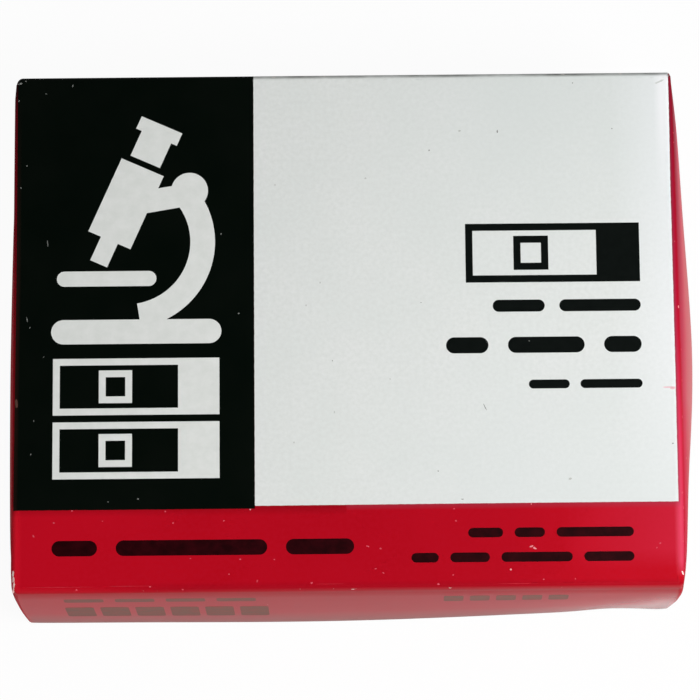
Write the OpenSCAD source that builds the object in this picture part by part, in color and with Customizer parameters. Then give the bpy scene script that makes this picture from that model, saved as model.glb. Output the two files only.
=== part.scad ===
// A closed two-piece card box of microscope slides.
// The slides stand on their long edges in an open tray, side by side from front to rear,
// and a printed lid slides down over the tray almost to the table.
// Origin: centre of the tray's underside. +X along the slides, -Y the front, +Z up.

/* [Slides] */
// Length of one slide
slide_l = 76; // [60:0.5:90]
// Width of one slide, which is its height in the box
slide_w = 26; // [20:0.5:40]
// Thickness of one slide
slide_t = 1.1; // [0.9:0.05:1.5]
// Number of slides in the box
slide_count = 50; // [42:1:52]
// Air between one slide and the next
slide_gap = 0.09; // [0.03:0.01:0.3]
// Bevel of the ground edges
slide_bevel = 0.15; // [0.05:0.01:0.3]

/* [Tray] */
// Thickness of the tray's card
tray_card = 0.5; // [0.3:0.05:0.8]
// Outside radius of the tray's folds
tray_fold_r = 0.9; // [0.85:0.05:1.5]
// How far the slides stand above the tray's rim
rim_drop = 4.5; // [1:0.5:12]
// Play at each end of the slides
end_play = 0.2; // [0.1:0.05:1]
// Play in front of the first slide and behind the last
stack_play = 0.95; // [0.2:0.05:2]
// Length of the glued flaps inside the end walls
tray_flap_l = 14; // [6:0.5:20]
// How far the flaps stop below the tray's rim
flap_drop = 1.2; // [0.5:0.1:4]

/* [Lid] */
// Thickness of the lid's card
lid_card = 0.5; // [0.3:0.05:0.65]
// Clearance between the tray and the lid on every side
lid_fit = 0.6; // [0.5:0.05:1]
// Clearance between the slides' upper edges and the lid
lid_rest_gap = 0.2; // [0.1:0.05:0.6]
// Height of the lid's free edge above the table
lid_floor_gap = 1.2; // [0.5:0.1:6]
// Outside radius of the lid's top folds
lid_fold_r = 0.7; // [0.7:0.05:1.5]
// Radius of the lid's upright corners on the left
corner_r = 0.9; // [0.85:0.05:2]
// Radius of the sharp rear right corner
sharp_r = 0.45; // [0.3:0.05:2]
// Radius of the crushed front right corner
crushed_r = 0.5; // [0.3:0.05:3]
// Length of the glued flaps inside the lid's end walls
lid_flap_l = 15; // [8:0.5:22]
// Outward lean of the lid's corners at the free edge
corner_lean = 0.3; // [0:0.05:0.8]
// Outward lean of both right corners to the right at the free edge
right_lean = 0.6; // [0:0.05:1]
// Outward lean of the front left corner to the left at the free edge
left_lean = 0.55; // [0:0.05:1]
// Forward lean of the front left corner at the free edge
front_lean = 0.85; // [0:0.05:1.2]
// How far the crushed corner is pushed back at the free edge
crushed_push = 0.35; // [0:0.05:0.4]
// Bulge of the front wall at its free edge
bow_front = 0.7; // [0:0.1:2]
// Bulge of the right wall at its free edge
bow_right = 3.7; // [0:0.1:5]
// Bulge of the rear wall at its free edge
bow_rear = 0.6; // [0:0.1:2]
// Bulge of the left wall at its free edge
bow_left = 2.4; // [0:0.1:5]
// Share by which the right wall's bulge grows towards the rear and shrinks towards the front
bow_shift = 0.06; // [0:0.01:0.3]
// Swelling of the crushed corner halfway down, to the right and to the front
crushed_swell = 0.4; // [0:0.05:1]
// Swelling of the left wall halfway down at its front end
left_swell = 0.3; // [0:0.05:1]
// Swelling of the right wall halfway down at its rear end
rear_swell = 0.35; // [0:0.05:1]
// How sharply the walls flare towards the free edge
flare = 1.2; // [1:0.05:2]
// The same for the right wall, which below 1 already flares at its fold
flare_right = 0.6; // [0.5:0.05:2]

/* [Print] */
// Thickness of a printed field
ink_t = 0.05; // [0.03:0.01:0.1]
// Width of the black field
black_w = 28.95; // [20:0.05:34]
// Width of the red band along the front
band_w = 9.4; // [6:0.1:14]
// How far the black field's edge leans to the left at the front
split_lean = 0.1; // [0:0.01:1]
// How much higher the white field ends than the black one
band_step = 0.3; // [0:0.05:1]
// Clear margin round the symbols on the black field
symbol_margin = 3.8; // [2:0.1:6]
// Clear margin between the marks and the right fold
mark_margin = 3.7; // [2:0.1:8]
// Height of the slide symbol on the white field
slide_symbol_h = 7.4; // [5:0.1:10]
// Height of the slide symbol's lower edge above the band
mark_height = 27.5; // [24:0.5:32]
// Distance from one row of bars to the next under the slide symbol
mark_pitch = 4.9; // [4:0.1:6]
// Length of the longest bar on the white field
bar_l = 10; // [6:0.1:14]
// Thickness of the thickest row of bars on the white field
rule_t = 2; // [1:0.1:2.6]
// Length of the longest bar on the band
band_bar_l = 18.4; // [12:0.1:20]
// Thickness of the thickest row of bars on the band
band_rule_t = 1.9; // [0.8:0.1:2.4]
// Distance from the left fold to the end of the band's left row of bars
band_row_reach = 41; // [37:0.5:46]
// How much wider the margin is at the right of the band than at the right of the white field
band_margin_step = 1.5; // [0:0.1:3]

/* [Hidden] */
$fn = 64;
// Length of a slide symbol over its height
symbol_aspect = 2.9;
slide_names = [for (i = [1 : slide_count]) str("slide_", i < 10 ? "0" : "", i)];
print_names = ["print_white", "print_black", "print_symbols", "print_marks", "print_band_marks"];

// The pack of slides
slide_pitch = slide_t + slide_gap;
stack_y = slide_count * slide_pitch - slide_gap;
slide_top = tray_card + slide_w;

// The tray: inside sizes between the walls, with the flaps lying against the end walls
tray_in_x = slide_l + 2 * (end_play + tray_card);
tray_in_y = stack_y + 2 * stack_play;
tray_x = tray_in_x + 2 * tray_card;
tray_y = tray_in_y + 2 * tray_card;
tray_h = slide_top - rim_drop;

// The lid: outside sizes, with its own flaps lying against its end walls
lid_x = tray_x + 2 * (lid_fit + 2 * lid_card);
lid_y = tray_y + 2 * (lid_fit + lid_card);
lid_top = slide_top + lid_rest_gap + lid_card;
lid_depth = lid_top - lid_floor_gap;

// The flat of the lid's top, which carries the print
top_x = lid_x / 2 - lid_fold_r;
top_y = lid_y / 2 - lid_fold_r;
panel_h = 2 * top_y - band_w;

// Sides of the lid in order: 0 front, 1 right, 2 rear, 3 left. A corner has the number of the side before it
bows = [bow_front, bow_right, bow_rear, bow_left];
corner_radii = [crushed_r, sharp_r, corner_r, corner_r];
corner_leans = [[right_lean, crushed_push], [right_lean, corner_lean],
                [-corner_lean, corner_lean], [-left_lean, -front_lean]];
corner_swells = [[crushed_swell, -crushed_swell], [rear_swell, 0], [0, 0], [-left_swell, 0]];
// How closely a swelling keeps to its corner
swell_power = 5;
// Part of each bulge that runs on nearly to the corners, and how abruptly it ends there
bow_plateaus = [0.2, 0.55, 0.2, 0.9];
bow_end_power = 10;
bow_shifts = [0, bow_shift, 0, 0];
flares = [flare, flare_right, flare, flare];
// Number of facets along a wall, a flap, a fold and an upright corner, and down a wall
wall_steps = 14;
flap_steps = 5;
fold_steps = 4;
corner_steps = 4;
depth_steps = 6;
// Slope at the free end of a flap, and the least radius left inside a corner
flap_bevel = 0.4;
least_r = 0.05;

function out(s) = [sin(90 * s), -cos(90 * s)];
function run(s) = [cos(90 * s), sin(90 * s)];
function half(s) = (s % 2 == 0 ? lid_y : lid_x) / 2;
function steps(a, b, n) = [for (i = [0 : n]) a + (b - a) * i / n];

// Radius of corner s once the walls before and after it have moved in by a and b
function radius(s, a, b) = max(corner_radii[s], a + least_r, b + least_r);
// Outward bulge of side s at share t of its half length and depth d
function bow(s, t, d) =
    let (k = bow_plateaus[s])
    bows[s] * pow(d / lid_depth, flares[s]) * (1 + bow_shifts[s] * t)
    * (k * (1 - pow(abs(t), bow_end_power)) + (1 - k) * pow(cos(90 * t), 2));
// Lean and swelling of side s at share t and depth d, which follow from the corners at its ends
function lean(s, t, d) =
    let (before = (s + 3) % 4,
         nearness = [(1 - t) / 2, (1 + t) / 2],
         q = d / lid_depth)
    (corner_leans[before] * nearness[0] + corner_leans[s] * nearness[1]) * q
    + (corner_swells[before] * pow(nearness[0], swell_power)
       + corner_swells[s] * pow(nearness[1], swell_power)) * 4 * q * (1 - q);

// Shares along side s at which its wall is divided, closer together near the corners. The end walls also
// divide at their flaps
flap_share = 1 - lid_flap_l / (lid_y / 2);
flap_foot = flap_share - flap_bevel / (lid_y / 2);
function wall_shares(s) =
    s % 2 == 0
    ? [for (u = steps(-90, 90, wall_steps)) sin(u)]
    : concat([for (u = steps(90, 0, flap_steps)) -flap_share - (1 - flap_share) * sin(u)],
             steps(-flap_foot, flap_foot, wall_steps),
             [for (u = steps(0, 90, flap_steps)) flap_share + (1 - flap_share) * sin(u)]);

// The wall of side s and the corner after it, at depth d. The wall has moved in by ins in its middle and by
// ins_end at its ends, and the next wall by ins_next
function wall_line(s, d, ins, ins_end, ins_next) =
    [for (t = wall_shares(s))
        let (reach = half(s + 1) - radius(t < 0 ? (s + 3) % 4 : s, ins_end, ins_next),
             inset = abs(t) < flap_share ? ins : ins_end)
        out(s) * (half(s) - inset + bow(s, t, d)) + run(s) * t * reach + lean(s, t, d)];
function corner_line(s, d, ins_end, ins_next) =
    let (r = radius(s, ins_end, ins_next))
    [for (i = [1 : corner_steps - 1])
        let (a = 90 * i / corner_steps)
        out(s) * (half(s) - r + (r - ins_end) * cos(a))
        + run(s) * (half(s + 1) - r + (r - ins_next) * sin(a)) + lean(s, 1, d)];
// One closed line round the lid at depth d. Its walls have moved in by ins, or by ins_flap where a flap lies
// against an end wall
function ring(d, ins, ins_flap) =
    [for (s = [0 : 3])
        let (ins_end = s % 2 == 0 ? ins : ins_flap,
             ins_next = s % 2 == 0 ? ins_flap : ins)
        for (p = concat(wall_line(s, d, ins, ins_end, ins_next), corner_line(s, d, ins_end, ins_next)))
            [p.x, p.y, lid_top - d]];

// A closed skin through a list of rings, with the first and last ring capped. Each ring has n points
module skin(rings) {
    n = len(rings[0]);
    last = len(rings) - 1;
    points = [for (r = rings) for (p = r) p];
    sides = [for (j = [0 : last - 1]) for (i = [0 : n - 1])
        let (a = j * n + i, b = j * n + (i + 1) % n)
        each [[a, b, b + n], [a, b + n, a + n]]];
    first_cap = [for (i = [n - 1 : -1 : 0]) i];
    last_cap = [for (i = [0 : n - 1]) last * n + i];
    polyhedron(points, concat([first_cap], sides, [last_cap]), convexity = 6);
}

// The lid: one folded sheet, rounded at its top folds, with walls that bulge more the lower they are.
// Its four glued flaps double the end walls next to the corners
module lid() {
    inner_r = lid_fold_r - lid_card;
    flap_in = 2 * lid_card;
    fold_angles = steps(0, 90, fold_steps);
    wall_depths = [for (i = [1 : depth_steps]) lid_fold_r + (lid_depth - lid_fold_r) * i / depth_steps];
    outside = concat(
        [for (a = fold_angles)
            let (ins = lid_fold_r * (1 - sin(a)))
            ring(lid_fold_r * (1 - cos(a)), ins, ins)],
        [for (d = wall_depths) ring(d, 0, 0)]);
    inside = concat(
        [for (i = [depth_steps - 1 : -1 : 0]) ring(wall_depths[i], lid_card, flap_in)],
        [for (i = [fold_steps : -1 : 0])
            let (a = fold_angles[i])
            ring(lid_fold_r - inner_r * cos(a), lid_fold_r - inner_r * sin(a), flap_in)]);
    color([0.71, 0.05, 0.12]) skin(concat(outside, inside));
}

// Outline of a folded sheet seen end-on: rounded where it is folded at the bottom, square at the rim
module fold_outline(l, h, r) {
    translate([-l / 2, r]) square([l, h - r]);
    translate([-l / 2 + r, 0]) square([l - 2 * r, r]);
    for (side = [-1, 1]) translate([side * (l / 2 - r), r]) circle(r);
}

// A block with every bottom edge rounded as a fold
module folded_block(x, y, h, r) {
    intersection() {
        rotate([90, 0, 0]) linear_extrude(y, center = true) fold_outline(x, h, r);
        rotate([90, 0, 90]) linear_extrude(x, center = true) fold_outline(y, h, r);
    }
}

// The tray: one folded sheet with a glued flap inside each end of its end walls
module tray() {
    flap_h = tray_h - flap_drop - tray_fold_r;
    color([0.86, 0.85, 0.81]) {
        difference() {
            folded_block(tray_x, tray_y, tray_h, tray_fold_r);
            translate([0, 0, tray_card])
                folded_block(tray_in_x, tray_in_y, tray_h, tray_fold_r - tray_card);
        }
        for (side = [-1, 1], front = [0, 1])
            mirror([0, front, 0])
                translate([side * (tray_in_x - tray_card) / 2 - tray_card / 2,
                           tray_in_y / 2 - tray_flap_l, tray_fold_r])
                    cube([tray_card, tray_flap_l, flap_h]);
    }
}

// A rectangle with its corners cut off by the bevel
module bevelled(x, y) {
    b = slide_bevel;
    polygon([[b, 0], [x - b, 0], [x, b], [x, y - b], [x - b, y], [b, y], [0, y - b], [0, b]]);
}

// Slide number i, counted from the front, standing on its long edge with its edges ground
module slide(i) {
    y = -stack_y / 2 + (i - 1) * slide_pitch;
    color([0.78, 0.88, 0.87, 0.6])
        translate([-slide_l / 2, y, tray_card])
            intersection() {
                linear_extrude(slide_w) bevelled(slide_l, slide_t);
                rotate([90, 0, 90]) linear_extrude(slide_l) bevelled(slide_t, slide_w);
            }
}

// The print on the lid's top. The edge between black and white leans, and the white field ends higher
split_foot = [-top_x + black_w - split_lean, -top_y + band_w];
split_head = [-top_x + black_w, top_y];
white_foot = -top_y + band_w + band_step;

// A printed field of one ink thickness, on the card (level 0) or on another field (level 1)
module on_top(level) {
    translate([0, 0, lid_top + level * ink_t]) linear_extrude(ink_t) children();
}

module print_white() {
    color([0.88, 0.90, 0.88])
        on_top(0) polygon([split_foot + [0, band_step], [top_x, white_foot], [top_x, top_y], split_head]);
}

module print_black() {
    color([0.04, 0.05, 0.05])
        on_top(0) polygon([[-top_x, split_foot.y], split_foot, split_head, [-top_x, top_y]]);
}

// A bar from one point to another with round ends
module round_bar(from, to, w) {
    gap = to - from;
    translate(from) rotate(atan2(gap.y, gap.x)) translate([0, -w / 2]) square([norm(gap), w]);
    for (p = [from, to]) translate(p) circle(w / 2);
}

// The outline of a slide with a solid label end and a cover glass, one unit high, centred on the origin
module slide_symbol() {
    line = 0.12;
    label_l = 0.72;
    glass = 0.58;
    difference() {
        square([symbol_aspect, 1], center = true);
        square([symbol_aspect - 2 * line, 1 - 2 * line], center = true);
    }
    translate([symbol_aspect / 2 - label_l, -0.5]) square([label_l, 1]);
    translate([-label_l / 2, 0]) difference() {
        square(glass, center = true);
        square(glass - 2 * line, center = true);
    }
}

// A plain microscope in outline, 22 units wide and 31 high, standing on the origin
module microscope_symbol() {
    arm_centre = [-1.2, 13.4];
    round_bar([-9.4, 1.6], [9.4, 1.6], 3.2);
    round_bar([-9.3, 8.6], [1.6, 8.6], 2);
    translate(arm_centre) difference() {
        circle(11.4);
        circle(8.2);
        polygon([[0, 0], [9, 6.6], [9, 20], [-20, 20], [-20, -20], [3.2, -20]]);
    }
    round_bar([0.2, 18.6], [6.2, 19.6], 3);
    translate([6.9, 20.2]) circle(2.4);
    translate([-4.9, 10.6]) rotate(-24) {
        translate([-1.2, 0]) square([2.4, 3.4]);
        translate([-3, 3.4]) square([6, 10.6]);
        translate([-2.1, 14.8]) square([4.2, 3.6]);
        translate([-2.9, 18.4]) square([5.8, 1.8]);
    }
}

// White symbols that fill the black field: a microscope over two slides
module print_symbols() {
    art = [22, 48.5];
    slide_rows = [3.7, 12];
    microscope_foot = 17.6;
    k = min((black_w - 2 * symbol_margin) / art.x, (panel_h - 2 * symbol_margin) / art.y);
    centre = [-top_x + black_w / 2, top_y - panel_h / 2];
    color([0.86, 0.88, 0.86])
        on_top(1) translate(centre) scale(k) translate([0, -art.y / 2]) {
            translate([0, microscope_foot]) microscope_symbol();
            for (y = slide_rows) translate([0, y]) scale(2 * slide_rows[0]) slide_symbol();
        }
}

// A row of bars of the given shares of a length, centred on y = 0, that ends at x = 0
function total(list, n) = n == 0 ? 0 : list[n - 1] + total(list, n - 1);
module bar_row(shares, longest, t) {
    lengths = shares * longest;
    gap = 1.2 * t;
    n = len(lengths);
    row_l = total(lengths, n) + gap * (n - 1);
    for (i = [0 : n - 1]) {
        start = total(lengths, i) + gap * i - row_l;
        round_bar([start + t / 2, 0], [start + lengths[i] - t / 2, 0], t);
    }
}

// Dark marks on the white field: a slide symbol over three rows of bars that end in line with it
module print_marks() {
    rows = [[0.64, 1], [0.52, 0.94, 0.46], [0.5, 0.76]];
    row_ts = [0.75, 1, 0.55];
    symbol_l = symbol_aspect * slide_symbol_h;
    color([0.05, 0.05, 0.06])
        on_top(1) translate([top_x - mark_margin, white_foot + mark_height]) {
            translate([-symbol_l / 2, slide_symbol_h / 2]) scale(slide_symbol_h) slide_symbol();
            for (i = [0 : 2])
                translate([0, -mark_pitch * (i + 0.6)]) bar_row(rows[i], bar_l, rule_t * row_ts[i]);
        }
}

// Dark bars on the red band: one row at the left and two thinner ones at the right
module print_band_marks() {
    left_row = [0.3, 1, 0.45];
    right_rows = [[0.23, 0.2, 0.51], [0.18, 0.26, 0.47, 0.33]];
    thin = 0.62;
    color([0.20, 0.02, 0.04])
        on_top(0) translate([0, -top_y + band_w / 2]) {
            translate([-top_x + band_row_reach, 0]) bar_row(left_row, band_bar_l, band_rule_t);
            for (i = [0, 1])
                translate([top_x - mark_margin - band_margin_step, band_w * (0.16 - 0.32 * i)])
                    bar_row(right_rows[i], band_bar_l, band_rule_t * thin);
        }
}

tray();
for (i = [1 : slide_count])
    slide(i);
lid();
print_white();
print_black();
print_symbols();
print_marks();
print_band_marks();
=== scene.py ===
"""A closed card box of microscope slides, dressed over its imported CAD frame.

Lengths in this file are in millimetres and are scaled to metres where meshes are made.
"""

import math
import random

import bmesh
import bpy
import numpy as np
from mathutils import Matrix, Vector, noise


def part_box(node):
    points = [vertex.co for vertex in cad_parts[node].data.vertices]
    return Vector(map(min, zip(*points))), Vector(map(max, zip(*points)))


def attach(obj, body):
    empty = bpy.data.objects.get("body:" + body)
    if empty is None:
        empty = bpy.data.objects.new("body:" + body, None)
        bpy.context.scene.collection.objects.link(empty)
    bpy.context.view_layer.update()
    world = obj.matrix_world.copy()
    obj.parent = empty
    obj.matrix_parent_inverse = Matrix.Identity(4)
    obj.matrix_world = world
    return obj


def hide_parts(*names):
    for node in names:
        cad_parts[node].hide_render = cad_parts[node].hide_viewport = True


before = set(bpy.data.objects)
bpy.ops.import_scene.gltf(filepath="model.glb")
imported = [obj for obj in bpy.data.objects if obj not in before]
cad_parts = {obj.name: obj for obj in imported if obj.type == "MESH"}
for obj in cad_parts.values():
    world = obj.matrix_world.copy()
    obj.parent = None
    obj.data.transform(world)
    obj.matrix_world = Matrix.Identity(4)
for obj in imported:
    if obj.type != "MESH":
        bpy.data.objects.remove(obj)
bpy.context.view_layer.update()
MM = 0.001

# ---------------------------------------------------------------- sizes taken from the frame
white_low, white_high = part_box("print_white")
black_low, black_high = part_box("print_black")
# The flat top reaches TOP_X and TOP_Y to each side. The white and the black field end at their feet towards
# the front, and meet along a line from SPLIT_FOOT to SPLIT_HEAD
TOP_X, TOP_Y, TOP_Z = white_high.x / MM, white_high.y / MM, white_low.z / MM
BLACK_FOOT, WHITE_FOOT = black_low.y / MM, white_low.y / MM
SPLIT_FOOT, SPLIT_HEAD = white_low.x / MM, black_high.x / MM
FREE_EDGE_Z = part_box("lid")[0].z / MM

# ---------------------------------------------------------------- the lid's form, as in the CAD part
CARD = 0.5
FOLD_R = 0.7
FOLD_ARC = FOLD_R * math.pi / 2
LID_X, LID_Y = 2 * (TOP_X + FOLD_R), 2 * (TOP_Y + FOLD_R)
LID_DEPTH = TOP_Z - FREE_EDGE_Z
FLAP_L = 15.0
# For the front, right, rear and left walls: how far each bows out at its free edge, the power of the depth
# by which it gets there, how much more it bows at its far end, and the share that is even along the wall
BOWS = (0.7, 3.7, 0.6, 2.4)
FLARES = (1.2, 0.6, 1.2, 1.2)
BOW_SHIFTS = (0, 0.06, 0, 0)
PLATEAUS = (0.2, 0.55, 0.2, 0.9)
BOW_END_POWER = 10
# For the upright corner after each of those walls: its radius, and how far its foot and its middle move
CORNER_RADII = (0.5, 0.45, 0.9, 0.9)
CORNER_LEANS = np.array([(0.6, 0.35), (0.6, 0.3), (-0.3, 0.3), (-0.55, -0.85)])
CORNER_SWELLS = np.array([(0.4, -0.4), (0.35, 0), (0, 0), (-0.3, 0)])
SWELL_POWER = 5
LEAST_R = 0.05
# Waves of the flat top: the width, the level in the noise and the share of each
WAVES = ((26, 3.1, 1), (11, 8.7, 0.5))
WAVE_HEIGHT, WAVE_FADE_POWER = 0.07, 8
# Wear at the left corners: how far each is pushed in, and where that starts along the side and fades down it
BLUNT_FRONT, BLUNT_REAR, BLUNT_FROM, BLUNT_FADE = 0.13, 0.26, 29.6, 4
# Wear at the front right corner: its foot stands out, above it is flat, and the wall beside it is drawn in
FOOT_OUT, FLAT_IN, BESIDE_IN = 0.16, 0.2, 0.24
CORNER_SPREAD, BESIDE_SPREAD, BESIDE_AWAY, SLUMP_REACH = 2, 4, 6.6, 3
# The end walls' cut edges stand proud of the flaps glued behind them: at the top, and from a depth on
SEAM_START, SEAM_STEP, SEAM_DEPTH = 0.03, 0.14, 1.6


def out(s):
    """Outward direction of side s: 0 front, 1 right, 2 rear, 3 left."""
    return np.array([math.sin(math.pi * s / 2), -math.cos(math.pi * s / 2)])


def run(s):
    """Direction in which side s runs, anticlockwise seen from above."""
    return np.array([math.cos(math.pi * s / 2), math.sin(math.pi * s / 2)])


def half(s):
    return (LID_Y if s % 2 == 0 else LID_X) / 2


def corner_radius(s, a, b):
    """Radius of the corner after side s, which stays larger than the insets a and b of its two walls."""
    return max(CORNER_RADII[s % 4], a + LEAST_R, b + LEAST_R)


def bow(s, t, d):
    """How far side s stands out at share t of its length, from -1 to 1, and depth d below the top."""
    k = PLATEAUS[s]
    swell = k * (1 - abs(t) ** BOW_END_POWER) + (1 - k) * math.cos(math.pi * t / 2) ** 2
    return BOWS[s] * max(d / LID_DEPTH, 0) ** FLARES[s] * swell * (1 + BOW_SHIFTS[s] * t)


def lean(s, t, d):
    """How far side s has moved with the corners at its two ends, seen from above."""
    before, q = (s + 3) % 4, d / LID_DEPTH
    near_before, near_after = max(1 - t, 0) / 2, max(1 + t, 0) / 2
    leans = CORNER_LEANS[before] * near_before + CORNER_LEANS[s] * near_after
    swells = CORNER_SWELLS[before] * near_before ** SWELL_POWER + CORNER_SWELLS[s] * near_after ** SWELL_POWER
    return leans * q + swells * 4 * q * (1 - q)


def blunting(x, y, depth):
    """How far wear has pushed the lid in at the upper ends of its left side."""
    along = min(max(abs(y) - BLUNT_FROM, 0) / (LID_Y / 2 - BLUNT_FROM), 1)
    across = min(max(-x - TOP_X + FOLD_R, 0) / (2 * FOLD_R), 1)
    down = min(depth / FOLD_R, 1) * math.exp(-max(depth - FOLD_R, 0) / BLUNT_FADE)
    return (BLUNT_REAR if y > 0 else BLUNT_FRONT) * along * across * down


def slump(x, y, depth):
    """How far the front wall's lower right end has moved towards +Y."""
    q = min(depth / LID_DEPTH, 1)
    near_front = min(max(-y - LID_Y / 2 + SLUMP_REACH, 0) / SLUMP_REACH, 1)
    at_corner = math.exp(-((x - TOP_X) / CORNER_SPREAD) ** 2)
    beside = math.exp(-((x - TOP_X + BESIDE_AWAY) / BESIDE_SPREAD) ** 2)
    # 4 / 27 is the largest value of q ** 2 * (1 - q)
    corner_in = FLAT_IN * (27 / 4) * q ** 2 * (1 - q) - FOOT_OUT * q ** 6
    return near_front * (at_corner * corner_in + beside * BESIDE_IN * q ** 2)


def as_worn(flat, depth):
    """A point of the walls in 3-D, after wear has moved it, from where it would stand seen from above."""
    x, y = flat
    return np.array([x + blunting(x, y, depth), y + slump(x, y, depth), TOP_Z - depth])


def fold(arc):
    """(inset, depth) of a point on a top fold and the wall below it, at arc length arc from the flat top."""
    if arc >= FOLD_ARC:
        return 0.0, FOLD_R + arc - FOLD_ARC
    angle = arc / FOLD_R
    return FOLD_R * (1 - math.sin(angle)), FOLD_R * (1 - math.cos(angle))


def top_height(x, y):
    """Height of the lid's flat top, with slight waves that fade out towards its folds."""
    fade = (1 - min(abs(x) / TOP_X, 1) ** WAVE_FADE_POWER) * (1 - min(abs(y) / TOP_Y, 1) ** WAVE_FADE_POWER)
    wave = sum(share * noise.noise(Vector((x / width, y / width, level))) for width, level, share in WAVES)
    return TOP_Z + WAVE_HEIGHT * wave * fade


def wall_point(s, t, inset, depth, reach):
    """A point of side s in 3-D: t is its share of the wall's half length, reach."""
    flat = out(s) * (half(s) - inset + bow(s, t, depth)) + run(s) * t * reach + lean(s, t, depth)
    return as_worn(flat, depth)


def skin(u, v):
    """The lid's outside at (u, v) of its sheet: the top is x, y, and the walls go on past the folds."""
    over_x, over_y = abs(u) - TOP_X, abs(v) - TOP_Y
    if over_x <= 0 and over_y <= 0:
        return np.array([u, v, top_height(u, v)])
    if over_y > over_x:
        s = 0 if v < 0 else 2
    else:
        s = 1 if u > 0 else 3
    axis = s % 2
    inset, depth = fold((over_y, over_x)[axis])
    along = (u, v)[axis] * run(s)[axis]
    reach = half(s + 1) - corner_radius(s if along > 0 else s + 3, 0, 0)
    return wall_point(s, along / reach, inset, depth, reach)


def skin_normal(u, v, step=0.05):
    du = skin(u + step, v) - skin(u - step, v)
    dv = skin(u, v + step) - skin(u, v - step)
    n = np.cross(du, dv)
    return n / np.linalg.norm(n)


# ---------------------------------------------------------------- mesh helpers
def link(obj):
    bpy.context.scene.collection.objects.link(obj)
    return obj


def add_object(name, mesh, body, smooth=True):
    """Puts a mesh in the scene, where it rides on a body of the frame."""
    obj = link(bpy.data.objects.new(name, mesh))
    for polygon in mesh.polygons:
        polygon.use_smooth = smooth
    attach(obj, body)
    return obj


def paint_points(mesh, name, values):
    """Stores one vector or one number per vertex as an attribute that a material can read."""
    kind = "FLOAT_VECTOR" if np.ndim(values[0]) else "FLOAT"
    layer = mesh.attributes.new(name, kind, "POINT")
    layer.data.foreach_set("vector" if kind == "FLOAT_VECTOR" else "value", np.ravel(values))


# ---------------------------------------------------------------- the lid's shell
# Cells along each side, round each corner, and down a fold and a wall
WALL_CELLS = (108, 88, 108, 88)
CORNER_CELLS = 7
FOLD_ROWS, WALL_ROWS = 9, 26
WALL_STARTS = [sum(WALL_CELLS[:s]) + s * (CORNER_CELLS + 1) for s in range(4)]
RING_SIZE = sum(WALL_CELLS) + 4 * (CORNER_CELLS + 1)
# How much closer together the cells are towards a wall's ends
CROWDING = 0.25
# Share of an end wall that is one card thick: past it, the flaps are glued behind
ONE_CARD_SHARE = 1 - FLAP_L / (LID_Y / 2)
# Width of the strip that wears along a fold, as a share of it, and along an upright corner, in radians
FOLD_WEAR, CORNER_WEAR = 0.35, 0.5
OUTSIDE, EDGE, INSIDE = 0, 1, 2


def wall_line(s, depth, arc, inset, ends, following):
    """A ring's points along wall s, each with its unfolded place and with no corner wear."""
    line = []
    even = np.linspace(-1, 1, WALL_CELLS[s] + 1)
    for t in (1 - CROWDING) * even + CROWDING * np.sin(even * math.pi / 2):
        reach = half(s + 1) - corner_radius(s + 3 if t < 0 else s, ends, following)
        if s % 2:
            own = ends if abs(t) > ONE_CARD_SHARE else inset
            place = ((TOP_X + arc) * out(s)[0], t * reach * run(s)[1], 0)
        else:
            own = inset
            place = (t * reach * run(s)[0], (TOP_Y + arc) * out(s)[1], 0)
        line.append((wall_point(s, t, own, depth, reach), place, 0.0))
    return line


def corner_line(s, depth, arc, ends, following, seam):
    """A ring's points round the corner after wall s, each with its unfolded place and its corner wear.

    The corner is part of the front or rear sheet, and ends under the end wall's cut edge."""
    line = []
    end_wall = s % 2 == 1
    r = corner_radius(s, ends, following)
    step_here, step_next = (seam, 0.0) if end_wall else (0.0, seam)
    front_rear, side = (s + 1, out(s)[0]) if end_wall else (s, run(s)[0])
    share = min(arc / FOLD_ARC, 1)
    angles = np.linspace(0, math.pi / 2, CORNER_CELLS + 1)
    for a in angles[:-1] if end_wall else angles[1:]:
        across = (r - ends - step_here) * math.cos(a)
        along = (r - following - step_next) * math.sin(a)
        flat = out(s) * (half(s) - r + across) + run(s) * (half(s + 1) - r + along)
        flat_end = LID_X / 2 - r + r * (math.pi / 2 - a if end_wall else a)
        unfolded = np.array([flat_end * side, (TOP_Y + arc) * out(front_rear)[1]])
        line.append((as_worn(flat + lean(s, 1, depth), depth), (*(flat * (1 - share) + unfolded * share), 0),
                     math.exp(-((a - math.pi / 4) / CORNER_WEAR) ** 2)))
    return line


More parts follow.
